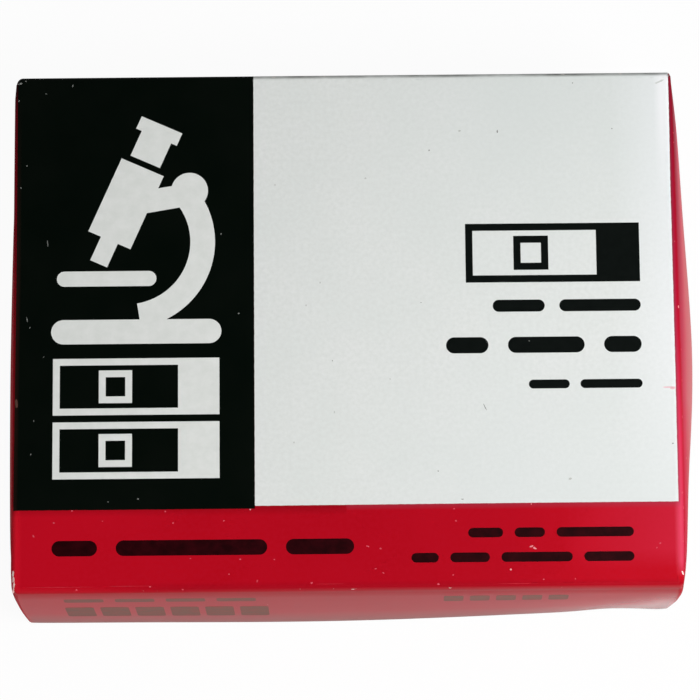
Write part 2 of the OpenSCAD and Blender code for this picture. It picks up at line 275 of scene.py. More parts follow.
class Shell:
    """Points, each with its unfolded place and its share of wear, and faces of three kinds."""

    def __init__(self):
        self.points, self.sheet, self.crest = [], [], []
        self.faces, self.kinds = [], []

    def add_point(self, point, place, crest):
        self.points.append(point)
        self.sheet.append(place)
        self.crest.append(crest)

    def add_face(self, kind, corners):
        self.faces.append(corners)
        self.kinds.append(kind)

    def add_ring(self, depth, arc, inset, flap_inset, seam):
        """Adds a closed line round the lid and returns the index of its first point."""
        first = len(self.points)
        fold_crest = math.exp(-((arc - FOLD_ARC / 2) / (FOLD_ARC * FOLD_WEAR)) ** 2)
        for s in range(4):
            ends, following = (flap_inset, inset) if s % 2 else (inset, flap_inset)
            line = wall_line(s, depth, arc, inset, ends, following)
            line += corner_line(s, depth, arc, ends, following, seam)
            for point, place, crest in line:
                self.add_point(point, place, max(fold_crest, crest))
        return first

    def join_rings(self, first, second, kind):
        for k in range(RING_SIZE):
            after = (k + 1) % RING_SIZE
            self.add_face(kind, (first + k, second + k, second + after, first + after))

    def add_panel(self, ring_first, below, kind):
        """Fills a ring with a grid, which the walls' points reach with one row of cells."""
        xs = [self.points[ring_first + i][0] for i in range(WALL_CELLS[0] + 1)]
        ys = [self.points[ring_first + WALL_STARTS[1] + i][1] for i in range(WALL_CELLS[1] + 1)]
        base, nx, ny = len(self.points), len(xs), len(ys)
        for y in ys:
            for x in xs:
                self.add_point(np.array([x, y, top_height(x, y) - below]), (x, y, 0), 0.0)

        def grid(i, j):
            return base + j * nx + i

        def put(*corners):
            self.add_face(kind, corners if kind == OUTSIDE else tuple(reversed(corners)))

        for j in range(ny - 1):
            for i in range(nx - 1):
                put(grid(i, j), grid(i + 1, j), grid(i + 1, j + 1), grid(i, j + 1))
        edges = [
            [grid(i, 0) for i in range(nx)],
            [grid(nx - 1, j) for j in range(ny)],
            [grid(nx - 1 - i, ny - 1) for i in range(nx)],
            [grid(0, ny - 1 - j) for j in range(ny)],
        ]
        for s, edge in enumerate(edges):
            wall = [ring_first + WALL_STARTS[s] + k for k in range(WALL_CELLS[s] + 1)]
            for k in range(WALL_CELLS[s]):
                put(wall[k], wall[k + 1], edge[k + 1], edge[k])
            last = WALL_STARTS[s] + WALL_CELLS[s]
            for k in range(last, last + CORNER_CELLS + 1):
                put(ring_first + k, ring_first + (k + 1) % RING_SIZE, edge[-1])

    def make_mesh(self, name):
        mesh = bpy.data.meshes.new(name)
        mesh.from_pydata([tuple(p * MM) for p in self.points], [], self.faces)
        mesh.polygons.foreach_set("material_index", self.kinds)
        paint_points(mesh, "sheet", self.sheet)
        paint_points(mesh, "crest", self.crest)
        mesh.validate()
        return mesh


def make_lid():
    """The folded lid as one closed shell: outside, raw free edge, inside with its glued flaps."""
    shell, rows = Shell(), []
    arcs = list(np.linspace(0, FOLD_ARC, FOLD_ROWS + 1))
    arcs += [FOLD_ARC + (LID_DEPTH - FOLD_R) * k / WALL_ROWS for k in range(1, WALL_ROWS + 1)]
    for arc in arcs:
        inset, depth = fold(arc)
        seam = SEAM_START + (SEAM_STEP - SEAM_START) * min(depth / SEAM_DEPTH, 1)
        rows.append(shell.add_ring(depth, arc, inset, inset, seam))
    last_outside = len(rows) - 1
    for below in np.linspace(LID_DEPTH - FOLD_R, 0, WALL_ROWS + 1):
        rows.append(shell.add_ring(FOLD_R + below, FOLD_ARC + below, CARD, 2 * CARD, SEAM_START))
    inner_r = FOLD_R - CARD
    for a in np.linspace(math.pi / 2, 0, FOLD_ROWS + 1)[1:]:
        inset, depth = FOLD_R - inner_r * math.sin(a), FOLD_R - inner_r * math.cos(a)
        rows.append(shell.add_ring(depth, a * FOLD_R, inset, 2 * CARD, SEAM_START))
    for r, (first, second) in enumerate(zip(rows, rows[1:])):
        kind = EDGE if r == last_outside else OUTSIDE if r < last_outside else INSIDE
        shell.join_rings(first, second, kind)
    shell.add_panel(rows[0], 0, OUTSIDE)
    shell.add_panel(rows[-1], CARD, INSIDE)
    return shell.make_mesh("lid_shell")


# ---------------------------------------------------------------- print that follows the lid's outside
# Size of the cells in which print, marks of wear and painted highlights and shade are cut, so that they can
# bend
PRINT_CELL, BLOT_CELL = 2.0, 0.2
# How far print stands above the card. It also reaches half as far into it
FILM = 0.012
BLOCK_ROUNDING = 0.5
# A blot's corners, and how far they reach as a share of its size
BLOT_CORNERS, BLOT_REACH = 11, (0.62, 1.12)


def outline_of_node(node):
    """The upper faces of a printed CAD node, as a flat mesh in the lid's unfolded coordinates."""
    flat = bmesh.new()
    flat.from_mesh(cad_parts[node].data)
    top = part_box(node)[1].z
    lower = [v for v in flat.verts if v.co.z < top - 0.01 * MM]
    bmesh.ops.delete(flat, geom=lower, context="VERTS")
    bmesh.ops.scale(flat, vec=(1 / MM, 1 / MM, 0), verts=flat.verts)
    bmesh.ops.remove_doubles(flat, verts=flat.verts, dist=0.001)
    return flat


def block_shape(flat, x, y, length, height):
    """Adds an upright block with rounded corners to a flat mesh."""
    ring_points = []
    for k, (sx, sy) in enumerate(((1, 1), (-1, 1), (-1, -1), (1, -1))):
        for step in range(4):
            a = math.radians(90 * k + 30 * step)
            ring_points.append((x + sx * (length / 2 - BLOCK_ROUNDING) + BLOCK_ROUNDING * math.cos(a),
                                y + sy * (height / 2 - BLOCK_ROUNDING) + BLOCK_ROUNDING * math.sin(a), 0))
    flat.faces.new([flat.verts.new(p) for p in ring_points])


def blot_shape(flat, x, y, length, width, angle, rng):
    """Adds a small ragged blot to a flat mesh."""
    ring_points = []
    turn = math.radians(angle)
    for k in range(BLOT_CORNERS):
        a = 2 * math.pi * k / BLOT_CORNERS
        r = rng.uniform(*BLOT_REACH)
        px, py = r * length / 2 * math.cos(a), r * width / 2 * math.sin(a)
        ring_points.append((x + px * math.cos(turn) - py * math.sin(turn),
                            y + px * math.sin(turn) + py * math.cos(turn), 0))
    flat.faces.new([flat.verts.new(p) for p in ring_points])


def cut_in_cells(flat, cell):
    """Divides a flat mesh along a square grid, so that it can bend with the card."""
    for axis, normal in ((0, Vector((1, 0, 0))), (1, Vector((0, 1, 0)))):
        low = min(v.co[axis] for v in flat.verts)
        high = max(v.co[axis] for v in flat.verts)
        for k in range(math.floor(low / cell) + 1, math.ceil(high / cell)):
            geometry = flat.verts[:] + flat.edges[:] + flat.faces[:]
            place = normal * (k * cell)
            bmesh.ops.bisect_plane(flat, geom=geometry, plane_co=place, plane_no=normal, dist=1e-5)


def film_faces(flat):
    """Faces of a closed film over a flat mesh: the upper ones, the lower ones, and its raw edges."""
    count = len(flat.verts)
    faces = [tuple(v.index for v in f.verts) for f in flat.faces]
    faces += [tuple(count + v.index for v in reversed(f.verts)) for f in flat.faces]
    for face in flat.faces:
        for loop in face.loops:
            if len(loop.edge.link_faces) == 1:
                a, b = loop.vert.index, loop.link_loop_next.vert.index
                faces.append((b, a, count + a, count + b))
    return faces


def make_decal(name, flat, material, replaced=()):
    """Lays a flat mesh on the lid's outside as a closed film of ink that rides on the lid."""
    cut_in_cells(flat, PRINT_CELL)
    flat.normal_update()
    for face in flat.faces:
        if face.normal.z < 0:
            face.normal_flip()
    flat.verts.index_update()
    low, high, sheet = [], [], []
    for v in flat.verts:
        p, n = skin(v.co.x, v.co.y), skin_normal(v.co.x, v.co.y)
        low.append(tuple((p - n * FILM / 2) * MM))
        high.append(tuple((p + n * FILM) * MM))
        sheet.append((v.co.x, v.co.y, 0))
    mesh = bpy.data.meshes.new(name)
    mesh.from_pydata(high + low, [], film_faces(flat))
    flat.free()
    paint_points(mesh, "sheet", sheet + sheet)
    mesh.materials.append(material)
    obj = add_object(name, mesh, "lid", smooth=False)
    if replaced:
        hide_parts(*replaced)


# ---------------------------------------------------------------- materials
def ink(r, g, b):
    """Linear colour of a screen colour given as 0 to 255."""
    channels = [c / 255 for c in (r, g, b)]
    return (*(c / 12.92 if c < 0.04 else ((c + 0.055) / 1.055) ** 2.4 for c in channels), 1)


class Graph:
    """A material's nodes, built from short calls. Numbers, colours and sockets are all taken as inputs."""

    def __init__(self, name):
        self.material = bpy.data.materials.new(name)
        self.material.use_nodes = True
        self.nodes = self.material.node_tree.nodes
        self.links = self.material.node_tree.links
        self.nodes.clear()
        self.shader = self.add("ShaderNodeBsdfPrincipled")
        self.output = self.add("ShaderNodeOutputMaterial")
        self.links.new(self.shader.outputs[0], self.output.inputs[0])

    def add(self, kind, **settings):
        node = self.nodes.new(kind)
        for key, value in settings.items():
            setattr(node, key, value)
        return node

    def put(self, socket, value):
        if isinstance(value, bpy.types.NodeSocket):
            self.links.new(value, socket)
        else:
            socket.default_value = value

    def set(self, **values):
        """Sets the shader's inputs, with spaces in their names written as underscores."""
        for key, value in values.items():
            self.put(self.shader.inputs[key.replace("_", " ")], value)

    def math(self, operation, a, b=0.0):
        node = self.add("ShaderNodeMath", operation=operation)
        self.put(node.inputs[0], a)
        self.put(node.inputs[1], b)
        return node.outputs[0]

    def minus(self, a, b):
        return self.math("SUBTRACT", a, b)

    def absolute(self, value):
        return self.math("ABSOLUTE", value)

    def larger(self, a, b):
        return self.math("MAXIMUM", a, b)

    def below(self, value, limit):
        """1 where value is less than limit, and 0 elsewhere."""
        return self.math("LESS_THAN", value, limit)

    def above(self, value, limit):
        """1 where value is greater than limit, and 0 elsewhere."""
        return self.math("GREATER_THAN", value, limit)

    def times(self, *values):
        product = values[0]
        for value in values[1:]:
            product = self.math("MULTIPLY", product, value)
        return product

    def plus(self, *values):
        total = values[0]
        for value in values[1:]:
            total = self.math("ADD", total, value)
        return total

    def ramp(self, value, start, end):
        """0 up to start and 1 from end on, with a straight line between. start may be above end."""
        node = self.add("ShaderNodeMapRange", clamp=True)
        self.put(node.inputs[0], value)
        self.put(node.inputs[1], start)
        self.put(node.inputs[2], end)
        return node.outputs[0]

    def mix(self, share, a, b):
        """Colour a, with the given share of colour b over it."""
        node = self.add("ShaderNodeMix", data_type="RGBA")
        self.put(node.inputs[0], share)
        self.put(node.inputs[6], a)
        self.put(node.inputs[7], b)
        return node.outputs[2]

    def attribute(self, name, output="Vector"):
        return self.add("ShaderNodeAttribute", attribute_name=name).outputs[output]

    def split(self, vector):
        node = self.add("ShaderNodeSeparateXYZ")
        self.put(node.inputs[0], vector)
        return node.outputs

    def scaled(self, vector, factors):
        node = self.add("ShaderNodeVectorMath", operation="MULTIPLY")
        self.put(node.inputs[0], vector)
        node.inputs[1].default_value = factors
        return node.outputs[0]

    def in_mm(self, coordinates):
        return self.scaled(coordinates, (1 / MM, 1 / MM, 1 / MM))

    def noise(self, vector, size, detail=2.0, rough=0.5):
        """Noise about 0.5, with blotches of about the given size in the vector's units."""
        node = self.add("ShaderNodeTexNoise")
        self.put(node.inputs["Vector"], vector)
        node.inputs["Scale"].default_value = 1 / size
        node.inputs["Detail"].default_value = detail
        node.inputs["Roughness"].default_value = rough
        return node.outputs["Fac"]

    def cells(self, vector, size):
        """Voronoi cells: distance to the nearest centre in cell widths, and the cell's own random colour."""
        node = self.add("ShaderNodeTexVoronoi")
        self.put(node.inputs["Vector"], vector)
        node.inputs["Scale"].default_value = 1 / size
        return node.outputs["Distance"], node.outputs["Color"]

    def bump(self, height, strength, distance, normal=None):
        node = self.add("ShaderNodeBump")
        node.inputs["Strength"].default_value = strength
        node.inputs["Distance"].default_value = distance
        self.put(node.inputs["Height"], height)
        if normal is not None:
            self.put(node.inputs["Normal"], normal)
        return node.outputs[0]


# Sizes of the broad and the fine blotches in a printed ink
BROAD, FINE = 9.0, 0.5
# How far the white and the black field reach round the side folds, how much their edges waver, and their blur
FIELD_PAST_FOLD, WAVER, BLUR = 0.32, 0.07, 0.025
# The length past the rear fold's start over which the print changes
FOLD_STEP = 0.15
# Strength of the card's grain where it is printed and varnished, and where it is bare
PRINTED_GRAIN, BARE_GRAIN = 0.35, 1.0
BARE_CARD = ink(226, 216, 208)


def specks(g, place, size, share, radius):
    """Mask of sparse round specks of varied size: share is the part of the cells that has one."""
    distance, colour = g.cells(place, size)
    pick, scale, _ = g.split(colour)
    return g.times(g.below(pick, share), g.below(distance, g.times(scale, radius / size)))


def card_grain(g, place, strength):
    """Fine fibre grain over soft waves, as a surface normal."""
    soft = g.bump(g.noise(place, 7.0, 1), 0.5 * strength, 0.12 * MM)
    return g.bump(g.noise(place, 0.16, 3, 0.6), 0.5 * strength, 0.006 * MM, soft)


def print_fields(g, sheet, u, v):
    """Masks of the white and the black field of print, and how far a point lies past their side edges."""
    waver = g.times(g.minus(g.noise(sheet, 0.7, 3), 0.5), WAVER)
    # The black field reaches a little further round the left fold at its front end
    more_left = g.times(g.below(u, 0), g.ramp(v, 6, -20), 0.18)
    more_right = g.times(g.above(u, 0), g.plus(g.times(g.ramp(v, 20, 31), 0.1), -0.05))
    on_rear = g.times(g.ramp(v, TOP_Y, TOP_Y + FOLD_STEP), 0.12)
    reach = g.plus(TOP_X + FIELD_PAST_FOLD, on_rear, more_left, more_right)
    past_side = g.minus(g.plus(g.absolute(u), waver), reach)
    # The white plate was printed a little askew: its field drifts to the right and ends higher at the right
    slope = (SPLIT_HEAD - SPLIT_FOOT) / (TOP_Y - WHITE_FOOT)
    drift = g.times(g.ramp(v, 31, -22), 0.09)
    split = g.plus(g.times(v, slope), SPLIT_HEAD - slope * TOP_Y + 0.02, drift)
    rise = g.plus(g.times(g.ramp(u, -12, 26), 0.08), 0.045)
    right_of = g.ramp(g.plus(g.minus(u, split), waver), -BLUR, BLUR)
    within = g.ramp(past_side, BLUR, -BLUR)
    rough_v = g.plus(v, waver)
    white = g.times(right_of, within, g.ramp(g.minus(rough_v, rise), WHITE_FOOT - BLUR, WHITE_FOOT + BLUR))
    black = g.times(g.minus(1, right_of), within, g.ramp(rough_v, BLACK_FOOT - BLUR, BLACK_FOOT + BLUR))
    return white, black, past_side


def red_ink_with_painted_light(g, sheet, u, v):
    """The red ink, a little deeper in the middle, with painted light that makes it paler towards both ends.
    """
    red = g.mix(g.ramp(g.noise(sheet, BROAD, 3), 0.3, 0.7), ink(184, 8, 26), ink(191, 11, 31))
    red = g.mix(g.ramp(g.noise(sheet, FINE, 2), 0.35, 0.75), red, ink(189, 14, 35))
    red = g.mix(g.times(g.ramp(u, -30, 0), g.ramp(u, 30, 20), 0.4), red, ink(166, 6, 26))
    # Painted light at the left end
    red = g.mix(g.times(g.ramp(u, -22, -36), 0.6), red, ink(196, 13, 34))
    # Painted light towards the right, fading out near the front
    return g.mix(g.times(g.ramp(u, 26, 41), g.ramp(v, -30, -27.5), 0.72), red, ink(202, 36, 60))


def front_fold_painted_light(g, red, u, v, past_fold):
    """Painted shade along the front fold's upper edge, painted reflection that makes the wall paler just
    below it and more so further down, and a greyer lower edge at the front wall's right end.
    """
    front = g.minus(-TOP_Y, v)
    # Painted shade along the front fold's upper edge
    dark_line = g.plus(g.times(g.ramp(u, -31, -21), 0.3), 0.04)
    red = g.mix(g.times(g.ramp(front, -0.5, 0.2), g.ramp(front, 0.9, 0.5), dark_line), red, ink(134, 8, 26))
    # Painted reflection: the wall just below the fold is paler, most towards the right
    reflection_share = g.plus(g.times(g.ramp(u, -25, 25), 0.5), 0.08)
    starts = g.plus(front, g.times(g.ramp(u, -27, -33), 0.16))
    red = g.mix(g.times(g.ramp(starts, 0.3, 0.8), g.ramp(front, 2.6, 1.1), reflection_share), red, ink(176, 88, 92))
    # Painted reflection: the walls grow paler downwards, more on the right and less on the left wall
    fade = g.plus(g.times(g.ramp(u, 18, 39), 0.22), g.times(g.below(u, -TOP_X), -0.18), 0.24)
    red = g.mix(g.times(g.ramp(past_fold, 1.5, 20), fade), red, ink(208, 116, 118))
    return g.mix(g.times(g.ramp(past_fold, 18, 27), g.ramp(v, -36, -40), 0.55), red, ink(146, 126, 120))


def right_fold_painted_light(g, red, u, v, past_side):
    """The right fold is a little bluer, with a painted highlight along its crest that is strongest towards
    the crushed corner.
    """
    fold_band = g.times(g.ramp(u, TOP_X, TOP_X + 0.5), g.ramp(u, TOP_X + 8, TOP_X + 3), g.ramp(v, -31, -29))
    red = g.mix(g.times(fold_band, 0.6), red, ink(206, 38, 80))
    # Painted highlight along the fold's crest
    at_crest = g.ramp(g.absolute(g.minus(u, TOP_X + 0.48)), 0.75, 0.0)
    near_corner = g.times(g.ramp(v, 4, -24), g.ramp(v, -31.0, -29.0))
    red = g.mix(g.times(at_crest, near_corner, 0.55), red, ink(228, 84, 110))
    # Along that fold's outer side runs a deeper line of painted shade beside the highlight, and a dull one
    # where it meets the white field
    lower = g.ramp(v, 0, -22)
    off_line = g.absolute(g.minus(u, g.plus(g.times(lower, 1.1), TOP_X + 0.82)))
    line = g.ramp(off_line, g.plus(g.times(lower, 0.7), 0.42), g.plus(g.times(lower, 0.25), 0.08))
    red = g.mix(g.times(line, g.ramp(v, -31.5, -30.5), 0.75), red, ink(190, 0, 30))
    dull_rim = g.times(g.above(u, 0), g.ramp(past_side, 0.28, 0.1), g.ramp(v, -22.5, -21.5))
    return g.mix(g.times(dull_rim, 0.6), red, ink(140, 62, 82))


def side_fold_painted_light(g, red, u, v, past_fold, past_side):
    """Painted shade on the side folds towards the rear, painted light on the left fold's front end, and
    painted shade on the left wall beside the black field and at its rear end.
    """
    # Painted shade along the side folds, growing towards the rear
    at_fold = g.times(g.ramp(past_fold, 0.0, 0.3), g.ramp(past_fold, 5, 1.5))
    red = g.mix(g.times(at_fold, g.ramp(v, -14, 28), 0.65), red, ink(92, 6, 26))
    # Painted light on the left fold's front end
    left_fold = g.times(g.ramp(u, -39.5, -40.5), g.ramp(u, -45, -42), g.ramp(v, -21, -23))
    red = g.mix(g.times(left_fold, 0.6), red, ink(226, 30, 48))
    on_left = g.below(u, 0)
    # Painted shade on the left wall beside the black field
    red = g.mix(g.times(on_left, g.ramp(past_side, 0.5, 0.0), g.ramp(v, -23, -21), 0.55), red, ink(34, 5, 6))
    # Painted shade at the rear end of the left side
    return g.mix(g.times(on_left, g.ramp(v, 27.5, 30.5), 0.8), red, ink(16, 6, 6))


def white_field_colour(g, sheet, u, v, past_fold):
    """White with painted light towards the right edge and where the right fold stands up, and a line of
    painted shade, broken into blotches, along the rear fold.
    """
    pale = g.mix(g.ramp(g.noise(sheet, BROAD, 3), 0.3, 0.7), ink(226, 230, 227), ink(231, 233, 231))
    pale = g.mix(g.ramp(g.noise(sheet, FINE, 2), 0.3, 0.8), pale, ink(221, 224, 221))
    pale = g.mix(g.times(g.ramp(v, 0, 28), g.ramp(u, 0, 20), 0.5), pale, ink(216, 222, 220))
    pale = g.mix(g.times(g.ramp(v, 4, -20), g.ramp(u, 0, 20), 0.5), pale, ink(218, 223, 222))
    # Painted light towards the right edge, more towards the rear
    right_side = g.times(g.ramp(u, 33, 40), g.plus(g.times(g.ramp(v, -20, 0), 0.3), 0.1))
    pale = g.mix(right_side, pale, ink(246, 248, 252))
    # Painted light near the right fold towards the rear
    lit_fold = g.times(g.ramp(u, TOP_X - 1.5, TOP_X - 0.6), g.ramp(v, 16, 28), 0.7)
    pale = g.mix(lit_fold, pale, ink(248, 248, 250))
    # Painted shade along the rear fold
    on_rear = g.ramp(v, TOP_Y, TOP_Y + FOLD_STEP)
    line = g.times(on_rear, g.ramp(past_fold, 0.12, 0.4), g.ramp(past_fold, 1.6, 0.7))
    blotches = g.ramp(g.noise(sheet, 8.0, 3, 0.6), 0.3, 0.66)
    return g.mix(g.times(line, blotches, 0.85), pale, ink(112, 114, 110))


def black_field_colour(g, sheet, u, v, past_side):
    """Black that turns brown along the left fold."""
    dark = g.mix(g.ramp(g.noise(sheet, BROAD, 3), 0.35, 0.7), ink(4, 10, 6), ink(8, 13, 9))
    brown_edge = g.times(g.below(u, 0), g.ramp(past_side, -0.6, 0.0), g.ramp(v, 30, 10), 0.6)
    return g.mix(brown_edge, dark, ink(50, 26, 22))


def add_specks(g, colour, sheet, white, black):
    """Pale chips on the dark fields, and dust on the white one."""
    chips = specks(g, sheet, 5.0, 0.24, 0.22)
    dust = specks(g, g.scaled(sheet, (1.3, 1.3, 1)), 7.0, 0.22, 0.14)
    pale_speck = g.mix(black, ink(214, 150, 148), ink(140, 146, 140))
    colour = g.mix(g.times(chips, g.minus(1, white)), colour, pale_speck)
    return g.mix(g.times(dust, white, 0.7), colour, ink(120, 118, 112))


def varnish_roughness(g, u, v, past_fold, bare):
    """Varnish that is dull beside the folds, and polished at the front wall's lower right end."""
    crumpled = g.times(g.ramp(u, TOP_X, TOP_X + 0.3), g.ramp(v, -8, -22), 0.3)
    dull = g.times(g.ramp(past_fold, 0.0, 0.3), g.plus(g.times(g.ramp(past_fold, 6, 0.8), 0.14),
                                                        g.times(g.ramp(past_fold, 20, 5), crumpled)))
    dull_left = g.times(g.below(u, -TOP_X), g.ramp(past_fold, 0.8, 3), 0.2)
    lower = g.ramp(g.plus(past_fold, g.times(g.ramp(u, 30, 38), 8)), 12, 27)
    polish = g.times(lower, g.ramp(u, 20, 40), g.ramp(v, -34, -38), -0.225)
    return g.plus(g.ramp(bare, -0.6, 1.05), dull, dull_left, polish)


def make_print_material():
    """The lid's printed outside: black and white fields on red, varnished, with worn folds and specks."""
    g = Graph("lid_print")
    sheet = g.attribute("sheet")
    u, v, _ = g.split(sheet)
    white, black, past_side = print_fields(g, sheet, u, v)
    past_fold = g.larger(g.minus(g.absolute(u), TOP_X), g.minus(g.absolute(v), TOP_Y))
    colour = red_ink_with_painted_light(g, sheet, u, v)
    colour = front_fold_painted_light(g, colour, u, v, past_fold)
    colour = right_fold_painted_light(g, colour, u, v, past_side)
    colour = side_fold_painted_light(g, colour, u, v, past_fold, past_side)
    colour = g.mix(white, colour, white_field_colour(g, sheet, u, v, past_fold))
    colour = g.mix(black, colour, black_field_colour(g, sheet, u, v, past_side))
    colour = add_specks(g, colour, sheet, white, black)
    # The card is bare where a fold has worn through
    worn = g.plus(g.times(g.attribute("crest", "Fac"), 0.42), g.noise(sheet, 2.4, 5, 0.62))
    bare = g.ramp(worn, 1.05, 1.09)
    g.set(Base_Color=g.mix(bare, colour, BARE_CARD), Specular_IOR_Level=0.03)
    g.set(Roughness=varnish_roughness(g, u, v, past_fold, bare), Normal=card_grain(g, sheet, PRINTED_GRAIN))
    return g.material


def make_card_material(name, tone, shade, fibre):
    """Plain pulp card: pale, matt, with fibres and faint specks."""
    g = Graph(name)
    place = g.in_mm(g.add("ShaderNodeTexCoord").outputs["Object"])
    streaks = g.noise(g.scaled(place, (1, 1, 3)), fibre, 4, 0.65)
    blotch = g.noise(place, 12.0, 2)
    colour = g.mix(g.ramp(streaks, 0.35, 0.7), tone, shade)
    colour = g.mix(g.times(g.ramp(blotch, 0.45, 0.75), 0.35), colour, shade)
    flecks = specks(g, place, 2.6, 0.12, 0.2)
    colour = g.mix(g.times(flecks, 0.45), colour, ink(150, 138, 120))
    g.set(Base_Color=colour, Roughness=0.86, Specular_IOR_Level=0.3, Normal=card_grain(g, place, BARE_GRAIN))
    return g.material


def make_ink_material(name, tone, shade, roughness):
    """A thin film of printing ink under varnish, for print, marks of wear, and painted highlights and shade.
    """
    g = Graph(name)
    place = g.attribute("sheet")
    density = g.noise(place, 1.4, 4, 0.6)
    g.set(Base_Color=g.mix(g.ramp(density, 0.35, 0.7), tone, shade), Roughness=roughness)
    g.set(Specular_IOR_Level=0.05, Normal=card_grain(g, place, PRINTED_GRAIN))
    return g.material


def make_glass_material():
    """Clear soda glass with pale ground edges: only the two large faces of a slide are polished."""
    g = Graph("slide_glass")
    coords = g.add("ShaderNodeTexCoord")
    across = g.absolute(g.split(coords.outputs["Normal"])[1])
    ground = g.below(across, 0.9)
    frost = g.noise(g.in_mm(coords.outputs["Object"]), 0.12, 3, 0.7)
    g.set(Base_Color=g.mix(ground, ink(196, 220, 214), ink(214, 230, 226)))
    g.set(Roughness=g.plus(g.times(ground, g.ramp(frost, 0.0, 1.6)), 0.03))
    g.set(Transmission_Weight=0.5, IOR=1.52)
    g.set(Normal=g.bump(g.times(frost, ground), 0.4, 0.02 * MM))
    return g.material


# ---------------------------------------------------------------- the lid and its print
INK_ROUGHNESS, FRONT_ROUGHNESS, WEAR_ROUGHNESS = 0.42, 0.45, 0.7
lid_mesh = make_lid()
for m in (
    make_print_material(),
    make_card_material("card_edge", ink(214, 205, 196), ink(188, 176, 164), 0.12),
    make_card_material("card_inside", ink(222, 219, 210), ink(206, 202, 191), 0.35),
):
    lid_mesh.materials.append(m)
lid = add_object("lid_shell", lid_mesh, "lid")
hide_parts("lid", "print_white", "print_black")

white_ink = make_ink_material("ink_white", ink(222, 225, 221), ink(230, 232, 229), INK_ROUGHNESS)
black_ink = make_ink_material("ink_black", ink(7, 12, 10), ink(11, 16, 14), INK_ROUGHNESS)
red_ink = make_ink_material("ink_dark_red", ink(30, 0, 3), ink(48, 2, 8), INK_ROUGHNESS)
front_ink = make_ink_material("ink_front", ink(124, 78, 62), ink(144, 70, 58), FRONT_ROUGHNESS)

make_decal("symbols", outline_of_node("print_symbols"), white_ink, replaced=["print_symbols"])
make_decal("marks", outline_of_node("print_marks"), black_ink, replaced=["print_marks"])
make_decal("band_marks", outline_of_node("print_band_marks"), red_ink,
           replaced=["print_band_marks"])

# Rows of blocks on the front wall: left end, depth below the fold, count, pitch, length, height
FRONT_ROWS = ((-34.6, 7.2, 4, 6.2, 4.8, 2.6), (-34.8, 16.6, 6, 4.3, 3.5, 7.6), (11.8, 8.4, 5, 3.2, 2.4, 4.6))
front = bmesh.new()
for left, depth, count, pitch, length, height in FRONT_ROWS:
    for i in range(count):
        block_shape(front, left + i * pitch + length / 2, -TOP_Y - depth, length, height)
make_decal("front_bars", front, front_ink)


# ---------------------------------------------------------------- wear, painted highlights and painted shade on the print
def make_blots(name, tone, shade, blots):
    """Marks of wear, painted highlights and painted shade, each cut fine enough to bend over a fold: x, y on
    the sheet, length, width and angle.

    The length of the name is the seed of their ragged outlines, which so are the same in each run."""
    whole, rng = bmesh.new(), random.Random(len(name))
    for x, y, length, width, angle in blots:
        blot = bmesh.new()
        blot_shape(blot, x, y, length, width, angle, rng)
        cut_in_cells(blot, BLOT_CELL)
        mesh = bpy.data.meshes.new("blot")
        blot.to_mesh(mesh)
        blot.free()
        whole.from_mesh(mesh)
        bpy.data.meshes.remove(mesh)
    make_decal(name, whole, make_ink_material("wear_and_light_" + name, tone, shade, WEAR_ROUGHNESS))


make_blots("red_chips", ink(224, 96, 112), ink(206, 64, 82), [
    (-33.4, -22.24, 0.26, 0.2, 60), (-22.05, -22.4, 0.24, 0.2, 20), (-35.6, -23.7, 0.3, 0.2, 0),
    (-38.06, -25.31, 0.22, 0.34, 30), (-29.7, -23.54, 0.22, 0.14, 0), (-21.1, -23.83, 0.24, 0.2, 0),
    (-14.9, -23.6, 0.3, 0.16, 20), (-12.95, -28.33, 0.24, 0.2, 0), (-14.31, -30.15, 0.24, 0.2, 0),
    (-19.0, -28.2, 0.2, 0.14, 0), (-8.8, -28.4, 0.26, 0.14, 0), (-10.9, -31.0, 0.22, 0.4, 0),
    (-4.3, -31.3, 0.34, 0.24, 40), (-23.9, -31.6, 0.34, 0.2, 0), (-19.94, -31.97, 0.24, 0.22, 0),
    (-32.8, -31.9, 0.26, 0.22, 0), (13.1, -22.4, 0.26, 0.16, 0), (13.3, -23.87, 0.28, 0.2, 0),
    (2.57, -26.9, 0.5, 0.16, -20), (4.11, -27.2, 0.28, 0.24, 0), (3.5, -29.63, 0.3, 0.16, 30),
    (4.43, -30.17, 0.3, 0.2, -30), (12.86, -30.47, 0.24, 0.18, 0), (11.04, -31.6, 0.34, 0.22, 0),
    (23.85, -31.12, 0.26, 0.2, 0), (27.68, -31.09, 0.2, 0.16, 0), (38.07, -26.83, 0.26, 0.2, 30),
    (37.65, -27.38, 0.3, 0.16, 60), (41.16, -22.44, 0.4, 0.2, 90), (41.34, -23.91, 0.3, 0.16, 90),
    (40.85, -26.6, 0.3, 0.16, 90), (41.4, -2.8, 0.3, 0.2, 90), (41.5, -6.6, 0.36, 0.22, 90),
    (41.3, -11.2, 0.4, 0.26, 90), (40.9, -20.6, 0.36, 0.3, 60), (41.0, 24.5, 0.24, 0.18, 90),
    (41.05, 23.3, 0.26, 0.2, 90),
])
make_blots("pale_chips", ink(240, 170, 172), ink(226, 128, 136), [
    (22.45, -27.08, 0.5, 0.24, 20), (22.8, -27.3, 0.5, 0.26, -25), (19.86, -29.89, 0.34, 0.24, -40),
    (-11.7, -22.25, 0.2, 0.26, -30), (22.5, -21.9, 0.16, 0.22, 0), (40.95, 2.48, 0.5, 0.2, 90),
])
# Painted highlights along the front fold
make_blots("fold_rubs", ink(200, 48, 64), ink(188, 28, 44), [
    (-34.5, -31.56, 9.6, 0.09, 0), (-26.5, -31.5, 7.0, 0.08, 0), (-2.0, -31.45, 4.0, 0.07, 0),
    (20.6, -31.6, 5.6, 0.07, 0),
])
make_blots("bare_chips", ink(255, 226, 222), ink(255, 184, 182), [
    (40.8, -30.48, 0.62, 0.34, -50), (-40.56, -29.9, 0.8, 0.36, 86), (-40.5, -30.6, 1.0, 0.34, 80),
    (-40.42, -31.3, 1.0, 0.36, 80), (-40.5, -32.0, 0.8, 0.3, 80),
])
